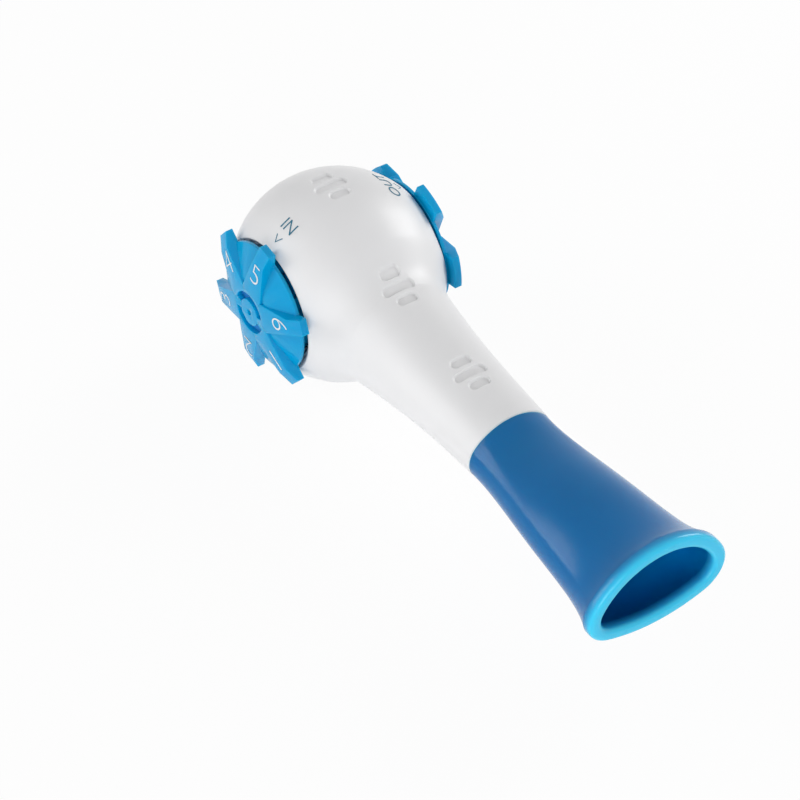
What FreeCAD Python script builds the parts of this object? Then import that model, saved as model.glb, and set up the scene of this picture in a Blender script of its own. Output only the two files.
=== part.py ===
import FreeCAD, Part
import math
import operator
import os
import Sketcher
from types import SimpleNamespace

# Breathing trainer: a hollow ball with a neck, a push-fit mouthpiece, and an inhale and an exhale
# cartridge in the two side sockets. Each cartridge is an orifice ring, a flow selector that turns with
# the dial, a thin valve disc and the dial. Millimetres; X is the dial axis with the inhale dial at -X,
# the mouthpiece points to -Y and +Z is up. The origin is under the middle of the assembled trainer.

doc = FreeCAD.newDocument("breathing_trainer")
sheet = doc.addObject("Spreadsheet::Sheet", "Sizes")

SIZES = {
    # ball and neck
    "ball_radius": 32.0,
    "shell_wall": 2.4,
    "neck_root": 18.0,
    "neck_end": 87.0,
    "neck_wall": 1.6,
    "neck_level": 1.1,
    "neck_blend": 6.0,
    "neck_corner": 0.78,
    # neck ovals: distance from the ball centre, half width and half height
    "neck_root_width": 21.0,
    "neck_root_height": 20.6,
    "neck_first_place": 33.0,
    "neck_first_width": 18.6,
    "neck_first_height": 17.7,
    "neck_middle_place": 50.0,
    "neck_middle_width": 16.4,
    "neck_middle_height": 14.7,
    "neck_last_place": 68.0,
    "neck_last_width": 14.9,
    "neck_last_height": 12.4,
    "neck_end_width": 14.0,
    "neck_end_height": 11.0,
    # grip dimples along the top
    "dimple_long": 11.5,
    "dimple_short": 7.5,
    "dimple_width": 3.4,
    "dimple_pitch": 4.8,
    "dimple_depth": 0.55,
    "ball_dimple_place": -4.2,
    "root_dimple_place": 31.0,
    "neck_dimple_place": 67.0,
    # dial sockets in the ball
    "socket_mouth_radius": 20.8,
    "socket_bore_radius": 16.2,
    "socket_bevel_depth": 11.9,
    "socket_depth": 17.5,
    "socket_seat_radius": 15.0,
    "socket_seat_wall": 1.6,
    "socket_wall": 2.0,
    "notch_width": 5.0,
    "notch_depth": 1.6,
    # orifice rings
    "ring_radius": 15.8,
    "ring_wall": 1.5,
    "ring_floor": 1.0,
    "crown_root": 4.4,
    "crown_height": 11.2,
    "finger_height": 7.8,
    "crown_slot": 1.2,
    "hook_over": 0.6,
    "hook_reach": 1.2,
    "hook_width": 4.4,
    "hook_height": 2.6,
    "inhale_hook_turn": -58.0,
    "exhale_hook_turn": -26.0,
    "orifice_circle": 7.5,
    "orifice_small": 0.9,
    "orifice_step": 0.18,
    # flow selectors
    "selector_radius": 12.2,
    "selector_floor": 1.0,
    "journal_radius": 1.9,
    "journal_gap": 0.1,
    "plate_wall": 1.2,
    "plate_height": 9.6,
    "post_radius": 2.3,
    "post_rib": 1.0,
    "pin_radius": 0.8,
    "window_radius": 2.6,
    "seat_inner_radius": 9.6,
    "seat_wall": 1.0,
    # valve discs
    "disc_radius": 10.92,
    "disc_thickness": 0.4,
    "disc_hole_radius": 1.3,
    "disc_lift": 0.5,
    # dials
    "skirt_radius": 13.75,
    "skirt_wall": 1.15,
    "skirt_gap": 0.4,
    "flange_radius": 20.4,
    "flange_gap": 0.3,
    "flange_rim": 1.0,
    "flange_dish": 1.9,
    "dial_rise": 5.0,
    "dial_wall": 1.8,
    "facet_step": 0.9,
    "facet_drop": 1.1,
    "floor_edge": 11.3,
    "floor_chamfer": 1.2,
    "facet_hub": 8.0,
    "petal_reach": 24.4,
    "petal_shoulder": 20.0,
    "petal_shoulder_drop": 1.5,
    "petal_tip_drop": 3.4,
    "petal_root_half": 4.6,
    "inhale_tip_half": 2.5,
    "exhale_tip_half": 5.2,
    "tab_thickness": 2.3,
    "hub_hole_radius": 1.0,
    "hub_slot_inner": 4.3,
    "hub_slot_outer": 6.8,
    "hub_slot_half": 75.0,
    "inhale_slot_turn": 0.0,
    "exhale_slot_turn": 90.0,
    "vent_inner": 14.6,
    "vent_outer": 17.6,
    "vent_half_angle": 12.5,
    "vent_depth": 2.6,
    # mouthpiece
    "fit_gap": 0.2,
    "spigot_length": 17.5,
    "spigot_wall": 1.6,
    "mouth_length": 68.5,
    "mouth_wall": 2.0,
    "lip_wall": 4.3,
    "lip_band": 3.2,
    "lip_round": 1.5,
    "mouth_bottom": 9.9,
    "mouth_flat": 2.3,
    "mouth_first_place": 22.0,
    "mouth_first_width": 15.8,
    "mouth_first_top": 12.9,
    "mouth_first_level": 1.3,
    "mouth_middle_place": 42.0,
    "mouth_middle_width": 18.2,
    "mouth_middle_top": 15.3,
    "mouth_middle_level": 1.8,
    "mouth_last_place": 59.0,
    "mouth_last_width": 20.9,
    "mouth_last_top": 17.9,
    "mouth_last_level": 2.2,
    "lip_width": 23.3,
    "lip_top": 21.0,
    "lip_level": 2.6,
    "latch_height": 0.5,
    "latch_width": 4.0,
    "latch_length": 2.4,
    "latch_inset": 4.0,
    "spring_slot_place": -7.2,
    "spring_slot_width": 2.6,
    "spring_slot_length": 6.0,
}

INHALE_SETTINGS = 6
EXHALE_SETTINGS = 5
# angles of the petals of the two dials
INHALE_PETALS = tuple(-7.5 + 60 * k for k in range(INHALE_SETTINGS))
EXHALE_PETALS = (-95, -52, 20, 78, 152, 202)
# angles of the petals of the exhale dial that have an air vent behind them
VENTED_PETALS = (-52, 152)
# angles of the open sides between the plates of the inhale selector
PLATE_GAPS = ((-131, 47), (86, 97), (129, 177))
# angles of the short tongues of the exhale ring and of the hook arm beside the last one
EXHALE_WIDE_END = 18
EXHALE_SHORT_SPAN = 35
EXHALE_ARM_SPAN = 14
DIMPLES = (1, 2, 3)
# share of the final level that the ovals of the neck have reached
NECK_LEVEL_SHARES = (0, 0.25, 0.6, 1, 1)
# edges of the fingers of the inhale crown, as angles from the hook
FINGER_EDGES = (10, 38, 76, 104, 142, 170)
HALF_TURN = 180
OPERATIONS = {
    "+": operator.add,
    "-": operator.sub,
    "*": operator.mul,
    "/": operator.truediv,
    "^": operator.pow,
}


class Size:
    """A size with its present value and the expression that ties it to the sheet."""

    def __init__(self, value, text):
        self.value = float(value)
        self.text = text

    def __add__(self, other):
        return joined(self, "+", other)

    def __radd__(self, other):
        return joined(other, "+", self)

    def __sub__(self, other):
        return joined(self, "-", other)

    def __rsub__(self, other):
        return joined(other, "-", self)

    def __mul__(self, other):
        return joined(self, "*", other)

    def __rmul__(self, other):
        return joined(other, "*", self)

    def __truediv__(self, other):
        return joined(self, "/", other)

    def __pow__(self, other):
        return joined(self, "^", other)

    def __neg__(self):
        return joined(0, "-", self)


def as_size(amount):
    if isinstance(amount, Size):
        return amount
    return Size(amount, repr(float(amount)))


def joined(first, sign, second):
    first = as_size(first)
    second = as_size(second)
    value = OPERATIONS[sign](first.value, second.value)
    return Size(value, "(%s %s %s)" % (first.text, sign, second.text))


def cosine(angle):
    angle = as_size(angle)
    return Size(math.cos(math.radians(angle.value)), "cos(%s)" % angle.text)


def sine(angle):
    angle = as_size(angle)
    return Size(math.sin(math.radians(angle.value)), "sin(%s)" % angle.text)


size = SimpleNamespace()
for row, (alias, plain) in enumerate(SIZES.items(), start=1):
    sheet.set("A%d" % row, alias)
    sheet.set("B%d" % row, str(plain))
    sheet.setAlias("B%d" % row, alias)
    setattr(size, alias, Size(plain, "Sizes." + alias))
doc.recompute()

# Places along the dial axis, from the ball centre outwards
BORE_FRONT = size.ball_radius - size.socket_bevel_depth
SOCKET_SEAT = size.ball_radius - size.socket_depth
RING_FLOOR_TOP = SOCKET_SEAT + size.ring_floor
RING_INNER = size.ring_radius - size.ring_wall
CROWN_TIP = SOCKET_SEAT + size.crown_height
HOOK_TIP = CROWN_TIP + size.hook_over
SELECTOR_TOP = RING_FLOOR_TOP + size.selector_floor
SKIRT_INNER = size.skirt_radius - size.skirt_wall
SKIRT_END = RING_FLOOR_TOP + size.skirt_gap
# the dished back of the dial flange clears the hooks of the ring
DISH_SLOPE = size.flange_dish / (size.flange_radius - size.skirt_radius)
RIM_BACK = HOOK_TIP + size.flange_gap - DISH_SLOPE * (size.flange_radius - size.ring_radius)
RIM_FRONT = RIM_BACK + size.flange_rim
DIAL_FACE = RIM_FRONT + size.dial_rise
DIAL_FLOOR = DIAL_FACE - size.dial_wall
POST_END = DIAL_FLOOR - size.disc_thickness - size.disc_lift
PIN_TIP = DIAL_FLOOR + size.dial_wall / 2

# Places along the neck axis
TOTAL_LENGTH = size.ball_radius + size.neck_end + size.mouth_length
BALL_PLACE = TOTAL_LENGTH / 2 - size.ball_radius
BORE_END_WIDTH = size.neck_end_width - size.neck_wall
BORE_END_HEIGHT = size.neck_end_height - size.neck_wall
LIP_BACK = size.mouth_length - size.lip_band
SPIGOT_WIDTH = BORE_END_WIDTH - size.fit_gap
SPIGOT_HEIGHT = BORE_END_HEIGHT - size.fit_gap


def bind(thing, prop, amount):
    thing.setExpression(prop, as_size(amount).text)


def new_body(name):
    body = doc.addObject("PartDesign::Body", name)
    body.Label = name
    return body


def origin_part(body, role):
    return next(part for part in body.Origin.OriginFeatures if part.Role == role)


def new_sketch(body, name, plane, lift=0):
    sketch = body.newObject("Sketcher::SketchObject", name)
    sketch.AttachmentSupport = (origin_part(body, plane), [""])
    sketch.MapMode = "FlatFace"
    bind(sketch, "AttachmentOffset.Base.z", lift)
    return sketch


def dimension(sketch, kind, places, amount):
    """One driving dimension of a sketch, tied to the sheet."""
    amount = as_size(amount)
    index = sketch.addConstraint(Sketcher.Constraint(kind, *places, amount.value))
    sketch.setExpression("Constraints[%d]" % index, amount.text)


def pin_point(sketch, edge, end, across, up):
    """Fix a point of the sketch at its distances from the sketch origin."""
    dimension(sketch, "DistanceX", (-1, 1, edge, end), across)
    dimension(sketch, "DistanceY", (-1, 1, edge, end), up)


def add_outline(sketch, points):
    """A closed outline of straight edges."""
    first = sketch.GeometryCount
    count = len(points)
    corners = [FreeCAD.Vector(as_size(x).value, as_size(y).value, 0) for x, y in points]
    for i in range(count):
        sketch.addGeometry(Part.LineSegment(corners[i], corners[(i + 1) % count]), False)
    for i in range(count):
        sketch.addConstraint(Sketcher.Constraint("Coincident", first + i, 2, first + (i + 1) % count, 1))
    for i, (x, y) in enumerate(points):
        pin_point(sketch, first + i, 1, x, y)


def outline(body, name, plane, points, lift=0):
    sketch = new_sketch(body, name, plane, lift)
    add_outline(sketch, points)
    return sketch


def add_circle(sketch, x, y, radius):
    middle = FreeCAD.Vector(as_size(x).value, as_size(y).value, 0)
    edge = sketch.addGeometry(Part.Circle(middle, FreeCAD.Vector(0, 0, 1), as_size(radius).value), False)
    pin_point(sketch, edge, 3, x, y)
    dimension(sketch, "Radius", (edge,), radius)


def arc(x, y, radius, start, end):
    circle = Part.Circle(FreeCAD.Vector(x, y, 0), FreeCAD.Vector(0, 0, 1), radius)
    return Part.ArcOfCircle(circle, start, end)


def oval(body, name, place, half_width, top, bottom, corner, level):
    """An oval of four tangent arcs; the side arcs are centred at the given level."""
    sketch = new_sketch(body, name, "XZ_Plane", place)
    side = half_width - corner

    def long_arc(rise):
        return (side ** 2 + rise ** 2 - corner ** 2) / (2 * (rise - corner))

    crown = long_arc(top - level)
    keel = long_arc(bottom + level)
    crown_middle = (top - crown).value
    keel_middle = (keel - bottom).value
    rise = math.atan2(level.value - crown_middle, side.value)
    fall = math.atan2(keel_middle - level.value, side.value)
    sketch.addGeometry([
        arc(side.value, level.value, corner.value, -fall, rise),
        arc(0, crown_middle, crown.value, rise, math.pi - rise),
        arc(-side.value, level.value, corner.value, math.pi - rise, math.pi + fall),
        arc(0, keel_middle, keel.value, math.pi + fall, 2 * math.pi - fall),
    ], False)
    for i in range(4):
        sketch.addConstraint(Sketcher.Constraint("Tangent", i, 2, (i + 1) % 4, 1))
    pin_point(sketch, 0, 3, side, level)
    pin_point(sketch, 2, 3, -side, level)
    for edge, radius in enumerate((corner, crown, corner, keel)):
        dimension(sketch, "Radius", (edge,), radius)
    return sketch


def feature(body, kind, name, sketch):
    made = body.newObject("PartDesign::" + kind, name)
    made.Profile = sketch
    return made


def pad(body, name, sketch, length):
    made = feature(body, "Pad", name, sketch)
    bind(made, "Length", length)
    doc.recompute()
    return made


def pocket(body, name, sketch, length):
    """A cut along the sketch normal."""
    made = feature(body, "Pocket", name, sketch)
    made.Reversed = True
    bind(made, "Length", length)
    doc.recompute()
    return made


def turned(body, name, points, kind="Revolution"):
    """A lathe profile of (radius, height) points turned about the local Z axis."""
    sketch = outline(body, name + "_profile", "XZ_Plane", points)
    made = feature(body, kind, name, sketch)
    made.ReferenceAxis = (sketch, ["V_Axis"])
    made.Angle = 360
    doc.recompute()
    return made


def loft(body, name, sections, kind="AdditiveLoft"):
    made = feature(body, kind, name, sections[0])
    made.Sections = sections[1:]
    doc.recompute()
    return made


def around(body, name, features, count):
    """The same features repeated evenly about the local Z axis."""
    pattern = body.newObject("PartDesign::PolarPattern", name)
    pattern.Originals = features
    pattern.Axis = (origin_part(body, "Z_Axis"), [""])
    pattern.Angle = 360
    pattern.Occurrences = count
    body.Tip = pattern
    doc.recompute()
    return pattern


def mirrored(body, name, features):
    """The same features on the other side of the middle plane."""
    mirror = body.newObject("PartDesign::Mirrored", name)
    mirror.Originals = features
    mirror.MirrorPlane = (origin_part(body, "YZ_Plane"), [""])
    body.Tip = mirror
    doc.recompute()
    return mirror


def rounded(body, name, radius, wanted):
    """Fillet the edges of the present tip that pass the test."""
    base = body.Tip
    names = ["Edge%d" % (i + 1) for i, edge in enumerate(base.Shape.Edges) if wanted(edge)]
    made = body.newObject("PartDesign::Fillet", name)
    made.Base = (base, names)
    bind(made, "Radius", radius)
    doc.recompute()
    return made


def polar(radius, angle):
    return radius * cosine(angle), radius * sine(angle)


def sector(inner, outer, start, end):
    """Four corners of a ring segment between two angles."""
    return [polar(inner, start), polar(outer, start), polar(outer, end), polar(inner, end)]


def radial_bar(inner, outer, width, angle):
    """Four corners of a straight bar that points away from the axis."""
    along_x, along_y = cosine(angle), sine(angle)
    corners = []
    for reach, side in ((inner, -1), (outer, -1), (outer, 1), (inner, 1)):
        shift = width * side / 2
        corners.append((reach * along_x - shift * along_y, reach * along_y + shift * along_x))
    return corners


def place_cartridge(body, outward):
    """Stand a piece modelled about its local Z axis in the socket on one side of the ball."""
    up = FreeCAD.Vector(0, 0, 1)
    axis = FreeCAD.Vector(outward, 0, 0)
    body.Placement = FreeCAD.Placement(FreeCAD.Vector(), FreeCAD.Rotation(up, axis.cross(up), axis, "ZXY"))
    bind(body, "Placement.Base.y", BALL_PLACE)
    bind(body, "Placement.Base.z", size.ball_radius)


# Body shell
def neck_ovals(body, name, inset):
    """The ovals of the neck, moved in by a wall thickness."""
    stations = [
        (size.neck_root, size.neck_root_width, size.neck_root_height),
        (size.neck_first_place, size.neck_first_width, size.neck_first_height),
        (size.neck_middle_place, size.neck_middle_width, size.neck_middle_height),
        (size.neck_last_place, size.neck_last_width, size.neck_last_height),
        (size.neck_end, size.neck_end_width, size.neck_end_height),
    ]
    ovals = []
    for i, (place, width, height) in enumerate(stations, start=1):
        level = size.neck_level * NECK_LEVEL_SHARES[i - 1]
        tall = height - inset
        corner = height * size.neck_corner - inset
        ovals.append(oval(body, "%s_oval_%d" % (name, i), place, width - inset,
                          tall + level, tall - level, corner, level))
    return ovals


def socket(body):
    """A bored boss with a coned mouth and two hook notches, and its mirror image."""
    inner = SOCKET_SEAT - size.socket_seat_wall
    outside = size.socket_bore_radius + size.socket_wall
    mouth = (size.ball_radius ** 2 - size.socket_mouth_radius ** 2) ** 0.5
    blend_radius = size.socket_mouth_radius + size.socket_wall / 2
    blend = ((size.ball_radius - size.shell_wall / 2) ** 2 - blend_radius ** 2) ** 0.5
    beyond = size.ball_radius + size.shell_wall
    plug = outline(body, "socket_boss_profile", "XY_Plane", [
        (inner, 0),
        (inner, outside),
        (BORE_FRONT - size.socket_wall / 2, outside),
        (blend, blend_radius),
        (blend, 0),
    ])
    opening = outline(body, "socket_bore_profile", "XY_Plane", [
        (inner - size.socket_seat_wall, 0),
        (inner - size.socket_seat_wall, size.socket_seat_radius),
        (SOCKET_SEAT, size.socket_seat_radius),
        (SOCKET_SEAT, size.socket_bore_radius),
        (BORE_FRONT, size.socket_bore_radius),
        (mouth, size.socket_mouth_radius),
        (beyond, size.socket_mouth_radius),
        (beyond, 0),
    ])
    boss = feature(body, "Revolution", "socket_boss", plug)
    boss.ReferenceAxis = (plug, ["H_Axis"])
    bore = feature(body, "Groove", "socket_bore", opening)
    bore.ReferenceAxis = (opening, ["H_Axis"])
    doc.recompute()
    mirrored(body, "second_socket", [boss, bore])
    inward = size.notch_depth - BORE_FRONT
    for side, start, hook_turn in (("inhale", -size.ball_radius, size.inhale_hook_turn),
                                   ("exhale", -inward, size.exhale_hook_turn)):
        notches = new_sketch(body, side + "_notch_outline", "YZ_Plane", start)
        for half_turn in (0, 180):
            bar = radial_bar(RING_INNER, size.socket_bore_radius + size.notch_depth,
                             size.notch_width, 90 - hook_turn + half_turn)
            add_outline(notches, [(-x, y) for x, y in bar])
        pocket(body, side + "_notch", notches, inward + size.ball_radius)


def dimples(body):
    """Three groups of grip dimples along the top, each short, long, short, cut to one depth."""
    neck_slope = (size.neck_first_height - size.neck_last_height) / (
        size.neck_last_place - size.neck_first_place)
    neck_top = size.neck_first_height + size.neck_first_place * neck_slope
    half = size.dimple_width / 2
    for group, start in enumerate((size.ball_dimple_place, size.root_dimple_place,
                                   size.neck_dimple_place), start=1):
        for k in DIMPLES:
            place = start + size.dimple_pitch * (k - 2)
            length = size.dimple_long if k == 2 else size.dimple_short
            if group == 1:
                level = (size.ball_radius ** 2 - place ** 2) ** 0.5
                slope = place / size.ball_radius
            else:
                level = neck_top - place * neck_slope + size.neck_level * (group - 1) / 2
                slope = neck_slope
            name = "dimple_%d_%d" % (group, k)
            near = level + slope * half - size.dimple_depth
            far = level - slope * half - size.dimple_depth
            profile = outline(body, name + "_profile", "YZ_Plane", [
                (half - place, near),
                (half - place, near + size.dimple_depth * 3),
                (-half - place, far + size.dimple_depth * 3),
                (-half - place, far),
            ])
            cut = feature(body, "Groove", name, profile)
            cut.ReferenceAxis = (profile, ["H_Axis"])
            cut.Midplane = True
            bind(cut, "Angle", length / level * HALF_TURN / math.pi)
    doc.recompute()


def latch_channels(body):
    """Channels in the narrow sides of the neck bore that the mouthpiece latches run in."""
    bottom = size.neck_level - size.latch_width / 2 - size.fit_gap
    top = size.neck_level + size.latch_width / 2 + size.fit_gap
    deep = SPIGOT_WIDTH + size.latch_height + size.fit_gap
    sketch = outline(body, "latch_channel_outline", "XZ_Plane", [
        (BORE_END_WIDTH / 2, bottom),
        (deep, bottom),
        (deep, top),
        (BORE_END_WIDTH / 2, top),
    ], size.neck_end - size.spigot_length)
    cut = pocket(body, "latch_channel", sketch, size.spigot_length + size.neck_wall)
    mirrored(body, "second_latch_channel", [cut])


def body_shell():
    body = new_body("body_shell")
    # the poles of the ball lie on the dial axis and its seam at the back, clear of the neck
    along_dials = FreeCAD.Rotation(FreeCAD.Vector(0, 1, 0), FreeCAD.Vector(0, 0, 1),
                                   FreeCAD.Vector(1, 0, 0), "ZXY")
    ball = body.newObject("PartDesign::AdditiveSphere", "ball")
    bind(ball, "Radius", size.ball_radius)
    ball.Placement = FreeCAD.Placement(FreeCAD.Vector(), along_dials)
    loft(body, "neck", neck_ovals(body, "neck", as_size(0)))

    def is_root(edge):
        box = edge.BoundBox
        outside = -box.YMin < size.neck_first_place.value and -box.YMax > size.neck_root.value
        return outside and box.XLength + box.ZLength > size.ball_radius.value / 2

    rounded(body, "neck_root_blend", size.neck_blend, is_root)
    hollow = body.newObject("PartDesign::SubtractiveSphere", "ball_hollow")
    bind(hollow, "Radius", size.ball_radius - size.shell_wall)
    hollow.Placement = FreeCAD.Placement(FreeCAD.Vector(), along_dials)
    loft(body, "neck_bore", neck_ovals(body, "bore", size.neck_wall), "SubtractiveLoft")
    socket(body)
    latch_channels(body)
    dimples(body)
    bind(body, "Placement.Base.y", BALL_PLACE)
    bind(body, "Placement.Base.z", size.ball_radius)


# Mouthpiece
def mouth_ovals(body, name, wall, lip_wall):
    """The flat-bottomed ovals of the mouthpiece, moved in by a wall thickness."""
    shoulder_top = size.neck_end_height + size.neck_level
    stations = [
        (as_size(0), size.neck_end_width, shoulder_top, size.neck_level, wall),
        (size.mouth_first_place, size.mouth_first_width, size.mouth_first_top, size.mouth_first_level, wall),
        (size.mouth_middle_place, size.mouth_middle_width, size.mouth_middle_top,
         size.mouth_middle_level, wall),
        (size.mouth_last_place, size.mouth_last_width, size.mouth_last_top, size.mouth_last_level, wall),
        (LIP_BACK, size.lip_width, size.lip_top, size.lip_level, lip_wall),
    ]
    ovals = []
    for i, (place, width, top, level, inset) in enumerate(stations, start=1):
        corner = size.mouth_bottom + level - size.mouth_flat
        ovals.append(oval(body, "%s_oval_%d" % (name, i), place, width - inset, top - inset,
                          size.mouth_bottom - inset, corner - inset, level))
    return ovals


def spigot_oval(body, name, place, inset):
    tall = SPIGOT_HEIGHT - inset
    corner = size.neck_end_height * size.neck_corner - size.neck_wall - size.fit_gap - inset
    return oval(body, name, place, SPIGOT_WIDTH - inset, tall + size.neck_level,
                tall - size.neck_level, corner, size.neck_level)


def lip_oval(body, name, inset):
    corner = size.mouth_bottom + size.lip_level - size.mouth_flat
    return oval(body, name, LIP_BACK, size.lip_width - inset, size.lip_top - inset,
                size.mouth_bottom - inset, corner - inset, size.lip_level)


def mouthpiece():
    body = new_body("mouthpiece")
    loft(body, "flare", mouth_ovals(body, "flare", as_size(0), as_size(0)))
    pad(body, "lip", lip_oval(body, "lip_outline", as_size(0)), size.lip_band)
    outer = spigot_oval(body, "spigot_outline", -size.spigot_length, as_size(0))
    pad(body, "spigot", outer, size.spigot_length)
    loft(body, "flare_bore", mouth_ovals(body, "flare_bore", size.mouth_wall, size.lip_wall),
         "SubtractiveLoft")
    pocket(body, "lip_bore", lip_oval(body, "lip_bore_outline", size.lip_wall), size.lip_band)
    inner = spigot_oval(body, "spigot_bore_outline", -size.spigot_length, size.spigot_wall)
    pocket(body, "spigot_bore", inner, size.spigot_length + size.mouth_wall)

    def is_lip(edge):
        return edge.BoundBox.YMax < -size.mouth_length.value + size.fit_gap.value

    rounded(body, "rolled_lip", size.lip_round, is_lip)
    latch = outline(body, "latch_outline", "XZ_Plane", [
        (SPIGOT_WIDTH - size.spigot_wall / 2, size.neck_level - size.latch_width / 2),
        (SPIGOT_WIDTH + size.latch_height, size.neck_level - size.latch_width / 2),
        (SPIGOT_WIDTH + size.latch_height, size.neck_level + size.latch_width / 2),
        (SPIGOT_WIDTH - size.spigot_wall / 2, size.neck_level + size.latch_width / 2),
    ], size.latch_inset - size.spigot_length)
    bump = pad(body, "latch", latch, size.latch_length)
    mirrored(body, "second_latch", [bump])
    spring_slot(body)
    bind(body, "Placement.Base.y", BALL_PLACE - size.neck_end)
    bind(body, "Placement.Base.z", size.ball_radius)


def spring_slot(body):
    """The slot with a round end beside the tongue of the spigot."""
    middle = size.spring_slot_place
    half = size.spring_slot_width / 2
    bottom = size.spigot_length - size.spring_slot_length + half
    slot = outline(body, "spring_slot_outline", "XY_Plane", [
        (middle - half, bottom),
        (middle + half, bottom),
        (middle + half, size.spigot_length * 2),
        (middle - half, size.spigot_length * 2),
    ])
    end = new_sketch(body, "spring_slot_end_circle", "XY_Plane")
    add_circle(end, middle, bottom, half)
    pocket(body, "spring_slot", slot, size.neck_end_height * 2)
    pocket(body, "spring_slot_end", end, size.neck_end_height * 2)


# Orifice rings
def orifice_ring(name, outward, slots, low, hook_turn, settings, repeats):
    """A cup with a crown of fingers and a floor with one graded orifice for each setting."""
    body = new_body(name)
    turned(body, "cup", [
        (size.journal_radius + size.journal_gap, SOCKET_SEAT),
        (size.ring_radius, SOCKET_SEAT),
        (size.ring_radius, HOOK_TIP),
        (RING_INNER, HOOK_TIP),
        (RING_INNER, RING_FLOOR_TOP),
        (size.journal_radius + size.journal_gap, RING_FLOOR_TOP),
    ])
    inside = RING_INNER / 2
    outside = size.ring_radius + size.ring_wall * 2
    cuts = []
    slot_cut = new_sketch(body, "crown_slots", "XY_Plane", SOCKET_SEAT + size.crown_root)
    for angle in slots:
        add_outline(slot_cut, radial_bar(inside, outside, size.crown_slot, angle))
    cuts.append(pocket(body, "slots", slot_cut, size.crown_height))
    for k, (start, end, height) in enumerate(low, start=1):
        step = outline(body, "tongue_%d_outline" % k, "XY_Plane",
                       sector(inside, outside, start, end), SOCKET_SEAT + height)
        cuts.append(pocket(body, "tongue_%d" % k, step, size.crown_height))
    if repeats > 1:
        around(body, "crown", cuts, repeats)
    hook = outline(body, "hook_outline", "XY_Plane",
                   radial_bar(size.ring_radius - size.ring_wall / 2, size.ring_radius + size.hook_reach,
                              size.hook_width, hook_turn), CROWN_TIP - size.hook_height)
    catch = pad(body, "hook", hook, size.hook_height - size.flange_gap)
    around(body, "hooks", [catch], 2)
    orifices = new_sketch(body, "orifice_circles", "XY_Plane", SOCKET_SEAT)
    for k in range(settings):
        x, y = polar(size.orifice_circle, k * 360.0 / settings)
        add_circle(orifices, x, y, size.orifice_small + size.orifice_step * k)
    pocket(body, "orifices", orifices, size.ring_floor)
    place_cartridge(body, outward)


# Flow selectors
def selector_base(body, top):
    """The shutter floor with its journal, post and pin."""
    turned(body, "base", [
        (0, SOCKET_SEAT),
        (size.journal_radius, SOCKET_SEAT),
        (size.journal_radius, RING_FLOOR_TOP),
        (size.selector_radius, RING_FLOOR_TOP),
        (size.selector_radius, SELECTOR_TOP),
        (size.pin_radius, SELECTOR_TOP),
        (size.pin_radius, top),
        (0, top),
    ])


def shutter_window(body):
    window = new_sketch(body, "window_circle", "XY_Plane", RING_FLOOR_TOP)
    add_circle(window, size.orifice_circle, 0, size.window_radius)
    pocket(body, "window", window, size.selector_floor)


def ribbed_post(body, top):
    """A cross-shaped post round the pin."""
    sketch = new_sketch(body, "post_outline", "XY_Plane", SELECTOR_TOP)
    rib = size.post_rib / 2
    reach = size.post_radius
    add_outline(sketch, [
        (reach, -rib), (reach, rib), (rib, rib), (rib, reach), (-rib, reach), (-rib, rib),
        (-reach, rib), (-reach, -rib), (-rib, -rib), (-rib, -reach), (rib, -reach), (rib, -rib),
    ])
    pad(body, "post", sketch, top - SELECTOR_TOP)


def inhale_selector():
    """The shutter with a curved plate on each of three sides of the post."""
    body = new_body("inhale_flow_selector")
    selector_base(body, PIN_TIP)
    turned(body, "plates", [
        (size.selector_radius - size.plate_wall, SELECTOR_TOP),
        (size.selector_radius, SELECTOR_TOP),
        (size.selector_radius, SELECTOR_TOP + size.plate_height),
        (size.selector_radius - size.plate_wall, SELECTOR_TOP + size.plate_height),
    ])
    inside = size.selector_radius / 2
    outside = size.selector_radius * 2
    for k, (start, end) in enumerate(PLATE_GAPS, start=1):
        gap = outline(body, "plate_gap_%d_outline" % k, "XY_Plane",
                      sector(inside, outside, start, end), SELECTOR_TOP)
        pocket(body, "plate_gap_%d" % k, gap, size.plate_height)
    ribbed_post(body, POST_END)
    shutter_window(body)
    place_cartridge(body, -1)


def exhale_selector():
    """The shutter with a full wall that carries the seat of the valve disc on a spider."""
    body = new_body("exhale_flow_selector")
    selector_base(body, PIN_TIP)
    turned(body, "wall_and_seat", [
        (size.selector_radius - size.plate_wall, SELECTOR_TOP),
        (size.selector_radius, SELECTOR_TOP),
        (size.selector_radius, POST_END),
        (size.seat_inner_radius, POST_END),
        (size.seat_inner_radius, POST_END - size.seat_wall),
        (size.selector_radius - size.plate_wall, POST_END - size.seat_wall),
    ])
    ribbed_post(body, POST_END)
    arm = outline(body, "spider_arm_outline", "XY_Plane",
                  radial_bar(size.pin_radius / 2, size.seat_inner_radius + size.plate_wall / 2,
                             size.post_rib, 0), POST_END - size.seat_wall)
    spoke = pad(body, "spider_arm", arm, size.seat_wall)
    around(body, "spider", [spoke], 4)
    shutter_window(body)
    place_cartridge(body, 1)


# Valve discs
def valve_disc(name, outward, place):
    """A thin flexible disc on the selector pin."""
    body = new_body(name)
    turned(body, "disc", [
        (size.disc_hole_radius, place),
        (size.disc_radius, place),
        (size.disc_radius, place + size.disc_thickness),
        (size.disc_hole_radius, place + size.disc_thickness),
    ])
    place_cartridge(body, outward)


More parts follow.
